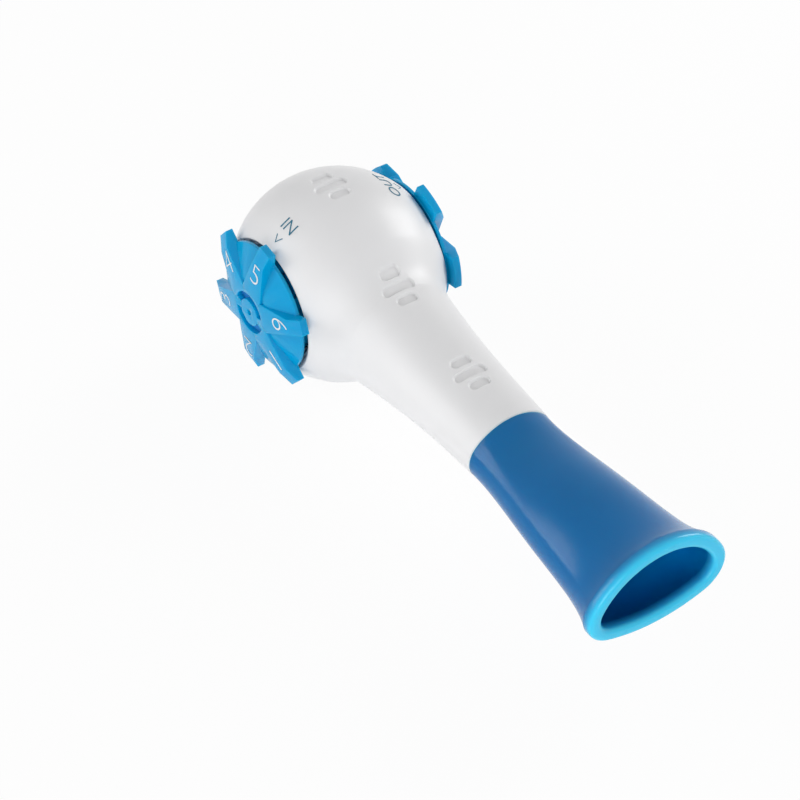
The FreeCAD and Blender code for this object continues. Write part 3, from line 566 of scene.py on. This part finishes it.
def body_shell():
    """The skin with a boss inside each side of the ball and a stepped, notched socket cut through it."""
    mesh = shell_mesh()
    mouth = math.sqrt(BALL_RADIUS ** 2 - SOCKET_MOUTH ** 2)
    blend_radius = SOCKET_MOUTH + SOCKET_WALL / 2
    blend = math.sqrt((BALL_RADIUS - SHELL_WALL / 2) ** 2 - blend_radius ** 2)
    inner = SOCKET_SEAT - SEAT_WALL
    outside = 2 * BALL_RADIUS
    axis = 0
    edge = MOUTH_EDGE
    boss = [
        (inner, axis),
        (inner, SOCKET_BORE + SOCKET_WALL),
        (SOCKET_FRONT - SOCKET_WALL / 2, SOCKET_BORE + SOCKET_WALL),
        (blend, blend_radius),
        (blend, axis),
    ]
    bore = [
        (inner - SEAT_WALL, axis),
        (inner - SEAT_WALL, SOCKET_SEAT_RADIUS),
        (SOCKET_SEAT, SOCKET_SEAT_RADIUS),
        (SOCKET_SEAT, SOCKET_BORE),
        (SOCKET_FRONT, SOCKET_BORE),
        (mouth - edge, SOCKET_MOUTH - edge),
        (mouth, SOCKET_MOUTH + 0.1 * edge),
        (mouth + edge, SOCKET_MOUTH + 3 * edge),
        (outside, SOCKET_MOUTH + 3 * edge),
        (outside, axis),
    ]
    bosses = [lathe_x("boss", boss, sign) for sign in SIDES.values()]
    mesh = carved(mesh, joined("bosses", bosses), "UNION")
    for side, sign in SIDES.items():
        socket = lathe_x("bore", bore, sign)
        for turn in HOOK_TURNS[side]:
            socket = carved(socket, notch_mesh(sign, math.radians(turn)), "UNION")
        mesh = carved(mesh, socket, "DIFFERENCE")
    smooth(mesh, SHELL_SHARP)
    shell = new_piece("body_shell_skin", mesh, WHITE, "trainer_body")
    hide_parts("body_shell")


# Node trees that make meshes
def new_tree(name, sizes):
    """A tree with a named input for each size; gives the tree, its way in and its way out."""
    tree = bpy.data.node_groups.new(name, "GeometryNodeTree")
    tree.interface.new_socket("Geometry", in_out="INPUT", socket_type="NodeSocketGeometry")
    for label in sizes:
        tree.interface.new_socket(label, in_out="INPUT", socket_type="NodeSocketFloat")
    tree.interface.new_socket("Geometry", in_out="OUTPUT", socket_type="NodeSocketGeometry")
    return tree, tree.nodes.new("NodeGroupInput"), tree.nodes.new("NodeGroupOutput")


def sum_of(tree, first, second, operation, factor=1.0):
    """The sum or difference of two sockets, times a factor."""
    add = tree.nodes.new("ShaderNodeMath")
    add.operation = operation
    tree.links.new(first, add.inputs[0])
    tree.links.new(second, add.inputs[1])
    scale = tree.nodes.new("ShaderNodeMath")
    scale.operation = "MULTIPLY"
    scale.inputs[1].default_value = factor
    tree.links.new(add.outputs[0], scale.inputs[0])
    return scale.outputs[0]


def end_tree(tree, shape, way_out, material):
    """The tree ends in real faces with their material."""
    real = tree.nodes.new("GeometryNodeRealizeInstances")
    paint = tree.nodes.new("GeometryNodeSetMaterial")
    paint.inputs["Material"].default_value = material
    tree.links.new(shape, real.inputs["Geometry"])
    tree.links.new(real.outputs["Geometry"], paint.inputs["Geometry"])
    tree.links.new(paint.outputs["Geometry"], way_out.inputs["Geometry"])


def grown(name, mesh, tree, sizes):
    """The plain mesh that a tree makes of a starting mesh, with its sizes set."""
    thing = temporary(mesh)
    grow = thing.modifiers.new("grow", "NODES")
    grow.node_group = tree
    for socket in tree.interface.items_tree:
        if socket.name in sizes:
            grow[socket.identifier] = sizes[socket.name]
    return evaluated_mesh(thing, name)


# Valve discs
DISC_SIZES = {
    "Outer radius": 10.92 * MM,
    "Hole radius": 1.3 * MM,
    "Thickness": 0.4 * MM,
    "Edge round": 0.12 * MM,
}
DISC_STEPS = 144
DISC_CORNER_STEPS = 3
DISC_SHARP = 40


def disc_tree():
    """A flat ring with rounded edges: a rectangle with round corners carried round a circle."""
    tree, way_in, way_out = new_tree("valve_disc", DISC_SIZES)
    given = way_in.outputs
    circle = tree.nodes.new("GeometryNodeCurvePrimitiveCircle")
    circle.inputs["Resolution"].default_value = DISC_STEPS
    middle = sum_of(tree, given["Outer radius"], given["Hole radius"], "ADD", 0.5)
    tree.links.new(middle, circle.inputs["Radius"])
    section = tree.nodes.new("GeometryNodeCurvePrimitiveQuadrilateral")
    width = sum_of(tree, given["Outer radius"], given["Hole radius"], "SUBTRACT")
    tree.links.new(width, section.inputs["Width"])
    tree.links.new(given["Thickness"], section.inputs["Height"])
    corners = tree.nodes.new("GeometryNodeFilletCurve")
    corners.mode = "POLY"
    corners.inputs["Count"].default_value = DISC_CORNER_STEPS
    tree.links.new(section.outputs["Curve"], corners.inputs["Curve"])
    tree.links.new(given["Edge round"], corners.inputs["Radius"])
    sweep = tree.nodes.new("GeometryNodeCurveToMesh")
    tree.links.new(circle.outputs["Curve"], sweep.inputs["Curve"])
    tree.links.new(corners.outputs["Curve"], sweep.inputs["Profile Curve"])
    end_tree(tree, sweep.outputs["Mesh"], way_out, DISC_BLUE)
    return tree


def valve_disc(side, tree):
    """The tree's ring stood upright on the dial axis, in the middle of the disc of the drawing."""
    node = side + "_valve_disc"
    low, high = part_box(node)
    mesh = grown(node + "_finish", bpy.data.meshes.new("start"), tree, DISC_SIZES)
    upright = Matrix.Rotation(math.pi / 2, 4, "Y")
    mesh.transform(on_axis((low[0] + high[0]) / 2) @ upright)
    outward(mesh)
    smooth(mesh, DISC_SHARP)
    piece = new_piece(node + "_finish", mesh, DISC_BLUE, side + "_disc")
    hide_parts(node)


# Pieces taken over from the drawing with rounded mould edges
SAME_CORNER = 0.002 * MM
FLAT_WITHIN = math.radians(0.5)
ROUND_STEPS = 2
PIECE_SHARP = 35


def merged_copy(node):
    """A copy of a solid with its loose triangles joined into flat faces."""
    work = bmesh.new()
    work.from_mesh(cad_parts[node].data)
    bmesh.ops.remove_doubles(work, verts=work.verts, dist=SAME_CORNER)
    bmesh.ops.dissolve_limit(work, angle_limit=FLAT_WITHIN, verts=work.verts, edges=work.edges)
    mesh = bpy.data.meshes.new(node + "_finish")
    work.to_mesh(mesh)
    work.free()
    return mesh


def mark_edges(mesh):
    """The faces of the rounded edges, known by their material number, are marked for the painted edge
    highlight.
    """
    numbers = np.zeros(len(mesh.polygons), dtype=np.int32)
    mesh.polygons.foreach_get("material_index", numbers)
    mark = mesh.attributes.new(EDGE_HIGHLIGHT_MARK, "FLOAT", "FACE")
    mark.data.foreach_set("value", numbers.astype(np.float32))
    mesh.polygons.foreach_set("material_index", np.zeros_like(numbers))


def rounded_piece(mesh, node, body, material, width, angle=28):
    """The edges sharper than an angle in degrees get the small radius of a moulded part."""
    mesh.materials.clear()
    # the second place is for the faces of the rounded edges, which get the painted highlight
    for _ in range(2):
        mesh.materials.append(material)
    mesh.polygons.foreach_set("material_index", np.zeros(len(mesh.polygons), dtype=np.int32))
    thing = temporary(mesh)
    edge = thing.modifiers.new("edge", "BEVEL")
    edge.material = 1
    edge.width = width
    edge.segments = ROUND_STEPS
    edge.limit_method = "ANGLE"
    edge.angle_limit = math.radians(angle)
    edge.use_clamp_overlap = True
    ready = evaluated_mesh(thing, node + "_finish")
    mark_edges(ready)
    smooth(ready, PIECE_SHARP)
    piece = new_piece(node + "_finish", ready, material, body)
    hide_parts(node)


# Orifice rings, with latch pockets near the free ends of their fingers
RING_RADIUS = 15.8 * MM
RING_ROUND = 0.2 * MM
# turns from straight up in degrees, and how far the pockets' middles are from the fingers' ends
POCKET_TURNS = {"inhale": (-1, 65, 179, 245), "exhale": (-144, -72, 0, 72, 144)}
POCKET_PLACE = 2.3 * MM
POCKET_SIZES = {"Width": 2.0 * MM, "Length": 1.8 * MM, "Depth": 0.55 * MM}


def pocket_tree():
    """A box on every point of the starting mesh, turned to face away from the dial axis."""
    tree, way_in, way_out = new_tree("latch_pockets", POCKET_SIZES)
    given = way_in.outputs
    box = tree.nodes.new("GeometryNodeMeshCube")
    size = tree.nodes.new("ShaderNodeCombineXYZ")
    tree.links.new(given["Length"], size.inputs["X"])
    tree.links.new(given["Width"], size.inputs["Y"])
    tree.links.new(sum_of(tree, given["Depth"], given["Depth"], "ADD"), size.inputs["Z"])
    tree.links.new(size.outputs["Vector"], box.inputs["Size"])
    facing = tree.nodes.new("GeometryNodeInputNormal")
    turn = tree.nodes.new("FunctionNodeAlignRotationToVector")
    turn.axis = "Z"
    turn.pivot_axis = "X"
    tree.links.new(facing.outputs["Normal"], turn.inputs["Vector"])
    spread = tree.nodes.new("GeometryNodeInstanceOnPoints")
    tree.links.new(given["Geometry"], spread.inputs["Points"])
    tree.links.new(box.outputs["Mesh"], spread.inputs["Instance"])
    tree.links.new(turn.outputs["Rotation"], spread.inputs["Rotation"])
    end_tree(tree, spread.outputs["Instances"], way_out, BLUE)
    return tree


def orifice_ring(side, sign, tree):
    node = side + "_orifice_ring"
    # about the origin, the normal of a loose point looks straight away from the dial axis
    points = [RING_RADIUS * away_from_axis(math.radians(turn)) for turn in POCKET_TURNS[side]]
    start = bpy.data.meshes.new("pocket_places")
    start.from_pydata(points, [], [])
    pockets = grown("pockets", start, tree, POCKET_SIZES)
    pockets.transform(on_axis(outer_end(node, sign) - sign * POCKET_PLACE))
    outward(pockets)
    mesh = carved(merged_copy(node), pockets, "DIFFERENCE")
    rounded_piece(mesh, node, side + "_ring", BLUE, RING_ROUND)


# Flow selectors, dials and mouthpiece
SELECTOR_ROUND = 0.15 * MM
DIAL_ROUND = 0.3 * MM
EXHALE_TIP_RADIUS = 24.4 * MM
TIP_STEPS = 240
TIP_BACK = 10 * MM
TIP_FRONT = 40 * MM
MOUTHPIECE_ROUND = 0.3 * MM
MOUTHPIECE_SHARP = 40


def flow_selector(side):
    node = side + "_flow_selector"
    rounded_piece(merged_copy(node), node, side + "_selector", BLUE, SELECTOR_ROUND)


def dial(side, sign):
    """The petals of the exhale dial end in curved edges, those of the inhale dial in straight ones."""
    node = side + "_dial"
    mesh = merged_copy(node)
    if side == "exhale":
        radius = EXHALE_TIP_RADIUS
        drum = [(TIP_BACK, 0), (TIP_BACK, radius), (TIP_FRONT, radius), (TIP_FRONT, 0)]
        mesh = carved(mesh, lathe_x("tips", drum, sign, TIP_STEPS), "INTERSECT")
    rounded_piece(mesh, node, node, BLUE, DIAL_ROUND)


def mouthpiece():
    node = "mouthpiece"
    rounded_piece(merged_copy(node), node, node, SLEEVE_BLUE, MOUTHPIECE_ROUND, MOUTHPIECE_SHARP)


# Printed marks: how far they lie off the surface and half their thickness, then sizes and places
MARK_LIFT = 0.05 * MM
MARK_DEPTH = 0.05 * MM
LETTER_CURVE_STEPS = 6
WORDS = {"inhale": "IN", "exhale": "OUT"}
WORD_SIZE = 5.6 * MM
WORD_THIN = 0.05 * MM
WORD_PLACE = 17.4 * MM
POINTER_PLACE = 21.3 * MM
POINTER_SIZE = 3.0 * MM
POINTER_STROKE = 0.17 * MM
# each digit with its turn from straight up in degrees
DIGITS = {
    "inhale": ((5, 7.5), (6, 67.5), (1, 127.5), (2, 187.5), (3, 247.5), (4, 307.5)),
    "exhale": ((1, -52), (2, 20), (3, 78), (4, 152), (5, 202)),
}
DIGIT_SIZE = 10.4 * MM
DIGIT_THIN = 0.26 * MM
DIGIT_REACH = 15.6 * MM
# the petals' flat faces slope back from the hub outward
PETAL_HUB = 8.0 * MM
PETAL_SLOPE = 1.5 / 12.0


def lettering(words, height, thin):
    """Flat letters, thinned a little all round, as a mesh about their own middle, lying in X and Y."""
    curve = bpy.data.curves.new("letters", "FONT")
    curve.body = words
    curve.size = height
    curve.align_x = "CENTER"
    curve.align_y = "CENTER"
    curve.offset = -thin
    curve.extrude = MARK_DEPTH
    curve.resolution_u = LETTER_CURVE_STEPS
    thing = bpy.data.objects.new("letters", curve)
    bpy.context.scene.collection.objects.link(thing)
    return evaluated_mesh(thing, "letters")


def bent(mesh, place):
    """Move every point (across, up, out) of a flat mark to where the function puts it."""
    for point in mesh.vertices:
        point.co = place(*point.co)
    outward(mesh)
    return mesh


def ball_point(sign, along):
    """A placing function on the ball: letters read round the dial axis with their feet at the socket."""
    def place(across, up, out):
        tilt = math.asin(along / BALL_RADIUS) - up / BALL_RADIUS
        angle = -sign * across / (BALL_RADIUS * math.cos(tilt))
        reach = BALL_RADIUS + MARK_LIFT + out
        x = sign * math.sin(tilt)
        y = -math.cos(tilt) * math.sin(angle)
        z = math.cos(tilt) * math.cos(angle)
        return BALL_CENTRE + reach * Vector((x, y, z))
    return place


def petal_point(sign, turn, face):
    """A placing function on a petal of a dial: digits stand with their heads at the rim."""
    radial = away_from_axis(turn)
    out_of_face = Vector((sign, 0, 0))
    level = radial.cross(out_of_face)

    def place(across, up, out):
        reach = DIGIT_REACH + up
        height = face - (reach - PETAL_HUB) * PETAL_SLOPE + MARK_LIFT + out
        return BALL_CENTRE + radial * reach + level * across + out_of_face * height
    return place


def pointer_mesh():
    """A small open V of two strokes."""
    half = POINTER_SIZE / 2
    top = POINTER_SIZE * 0.4
    stroke = POINTER_STROKE
    outline = [
        (-half, top),
        (0, -top),
        (half, top),
        (half - 2 * stroke, top),
        (0, -top + 2.6 * stroke),
        (-half + 2 * stroke, top),
    ]
    quads = [(0, 1, 4, 5), (1, 2, 3, 4)]
    points = [(x, y, h) for h in (-MARK_DEPTH, MARK_DEPTH) for x, y in outline]
    count = len(outline)
    faces = [tuple(i + count for i in quad) for quad in quads]
    faces += [tuple(reversed(quad)) for quad in quads]
    faces += [(i, (i + 1) % count, (i + 1) % count + count, i + count) for i in range(count)]
    mesh = bpy.data.meshes.new("pointer")
    mesh.from_pydata(points, [], faces)
    return mesh


def ball_marks(side, sign):
    """A generic word and a pointer beside the socket."""
    letters = bent(lettering(WORDS[side], WORD_SIZE, WORD_THIN), ball_point(sign, WORD_PLACE))
    new_piece(side + "_word_print", letters, TEAL_INK, "trainer_body")
    pointer = bent(pointer_mesh(), ball_point(sign, POINTER_PLACE))
    new_piece(side + "_pointer_print", pointer, TEAL_INK, "trainer_body")


def dial_digits(side, sign):
    """A plain digit on every petal."""
    node = side + "_dial"
    face = sign * outer_end(node, sign)
    for digit, turn in DIGITS[side]:
        flat = lettering(str(digit), DIGIT_SIZE, DIGIT_THIN)
        mesh = bent(flat, petal_point(sign, math.radians(turn), face))
        new_piece("%s_digit_%d_print" % (side, digit), mesh, WHITE_INK, node)


# Studio
FLOOR_REACH = 3.0
FLOOR_DROP = 0.1 * MM
FLOOR_GREY = 0.9
FLOOR_ROUGHNESS = 0.9
FLOOR_GLOW_SHARE = 0.94
SKY_LIGHT = 0.4
SKY_SEEN = 1.0
LAMP_AIM = (0, 0, 0.03)
# name, place, width, height and power
LAMPS = (
    ("key", (-0.70, -0.85, 0.25), 0.7, 0.7, 7.2),
    ("strip", (-0.85, 0.60, 0.36), 0.35, 0.9, 4.0),
    ("right", (0.95, 0.10, 0.45), 0.4, 0.6, 5.5),
)


def seen_surroundings(tree):
    """1 where the surroundings are seen, straight, in a gloss or through a clear piece, and else 0."""
    rays = tree.nodes.new("ShaderNodeLightPath")
    seen = rays.outputs["Is Camera Ray"]
    for kind in ("Is Glossy Ray", "Is Transmission Ray"):
        either = tree.nodes.new("ShaderNodeMath")
        either.operation = "MAXIMUM"
        tree.links.new(seen, either.inputs[0])
        tree.links.new(rays.outputs[kind], either.inputs[1])
        seen = either.outputs[0]
    return seen


def floor():
    """A pale floor that takes soft shadows and is nearly white where it is seen."""
    mesh = bpy.data.meshes.new("floor")
    reach = FLOOR_REACH
    corners = [(-reach, -reach, 0), (reach, -reach, 0), (reach, reach, 0), (-reach, reach, 0)]
    mesh.from_pydata(corners, [], [(0, 1, 2, 3)])
    sheet = bpy.data.objects.new("floor", mesh)
    sheet.location.z = CAD_BOX[0][2] - FLOOR_DROP
    bpy.context.scene.collection.objects.link(sheet)
    material = bpy.data.materials.new("pale_floor")
    tree, shader = nodes_of(material)
    shader.inputs["Base Color"].default_value = (FLOOR_GREY, FLOOR_GREY, FLOOR_GREY, 1)
    shader.inputs["Roughness"].default_value = FLOOR_ROUGHNESS
    white = tree.nodes.new("ShaderNodeEmission")
    white.inputs["Color"].default_value = (1, 1, 1, 1)
    mix = tree.nodes.new("ShaderNodeMixShader")
    share = tree.nodes.new("ShaderNodeMath")
    share.operation = "MULTIPLY"
    share.inputs[1].default_value = FLOOR_GLOW_SHARE
    tree.links.new(seen_surroundings(tree), share.inputs[0])
    tree.links.new(share.outputs[0], mix.inputs["Fac"])
    tree.links.new(shader.outputs[0], mix.inputs[1])
    tree.links.new(white.outputs[0], mix.inputs[2])
    tree.links.new(mix.outputs[0], tree.nodes["Material Output"].inputs["Surface"])
    mesh.materials.append(material)


def sky():
    """Soft white light from all round, brighter where it is seen than where it lights."""
    world = bpy.data.worlds.new("studio")
    bpy.context.scene.world = world
    world.use_nodes = True
    tree = world.node_tree
    background = tree.nodes["Background"]
    background.inputs["Color"].default_value = (1, 1, 1, 1)
    background.inputs["Strength"].default_value = SKY_LIGHT
    strength = tree.nodes.new("ShaderNodeMapRange")
    strength.inputs["To Min"].default_value = SKY_LIGHT
    strength.inputs["To Max"].default_value = SKY_SEEN
    tree.links.new(seen_surroundings(tree), strength.inputs["Value"])
    tree.links.new(strength.outputs["Result"], background.inputs["Strength"])


def lamp(name, place, width, height, power):
    data = bpy.data.lights.new(name, "AREA")
    data.shape = "RECTANGLE"
    data.size = width
    data.size_y = height
    data.energy = power
    light = bpy.data.objects.new(name, data)
    light.location = place
    light.rotation_euler = (Vector(LAMP_AIM) - Vector(place)).to_track_quat("-Z", "Y").to_euler()
    bpy.context.scene.collection.objects.link(light)


# Camera, fitted to the ball, the sockets, the neck and the lip in the photo
VIEW_TURN = math.radians(-35.954)
VIEW_RISE = math.radians(44.564)
VIEW_ROLL = math.radians(1.985)
# from the ball centre
VIEW_PLACE = Vector((-393.47, -576.20, 634.95)) * MM
# focal length and width of the picture, in its own dots
VIEW_FOCUS = 3168.609
VIEW_SIZE = 800
SENSOR_WIDTH = 36
NEAREST = 0.01
FARTHEST = 20


def camera():
    data = bpy.data.cameras.new("view")
    data.sensor_width = SENSOR_WIDTH
    data.lens = VIEW_FOCUS / VIEW_SIZE * SENSOR_WIDTH
    data.clip_start = NEAREST
    data.clip_end = FARTHEST
    eye = bpy.data.objects.new("view", data)
    level = Vector((math.cos(VIEW_TURN), math.sin(VIEW_TURN), 0))
    towards = Vector((math.sin(VIEW_TURN), -math.cos(VIEW_TURN), 0))
    back = math.cos(VIEW_RISE) * towards + math.sin(VIEW_RISE) * Vector((0, 0, 1))
    over = back.cross(level)
    right = math.cos(VIEW_ROLL) * level + math.sin(VIEW_ROLL) * over
    up = -math.sin(VIEW_ROLL) * level + math.cos(VIEW_ROLL) * over
    turn = Matrix((right, up, back)).transposed().to_4x4()
    eye.matrix_world = Matrix.Translation(BALL_CENTRE + VIEW_PLACE) @ turn
    bpy.context.scene.collection.objects.link(eye)
    bpy.context.scene.camera = eye


# The scene
bpy.context.scene.view_settings.view_transform = "Standard"
camera()
floor()
sky()
for settings in LAMPS:
    lamp(*settings)

body_shell()
mouthpiece()
disc_shape = disc_tree()
pocket_shape = pocket_tree()
for side, sign in SIDES.items():
    orifice_ring(side, sign, pocket_shape)
    flow_selector(side)
    valve_disc(side, disc_shape)
    dial(side, sign)
for side, sign in SIDES.items():
    ball_marks(side, sign)
for side, sign in SIDES.items():
    dial_digits(side, sign)

bpy.context.view_layer.update()
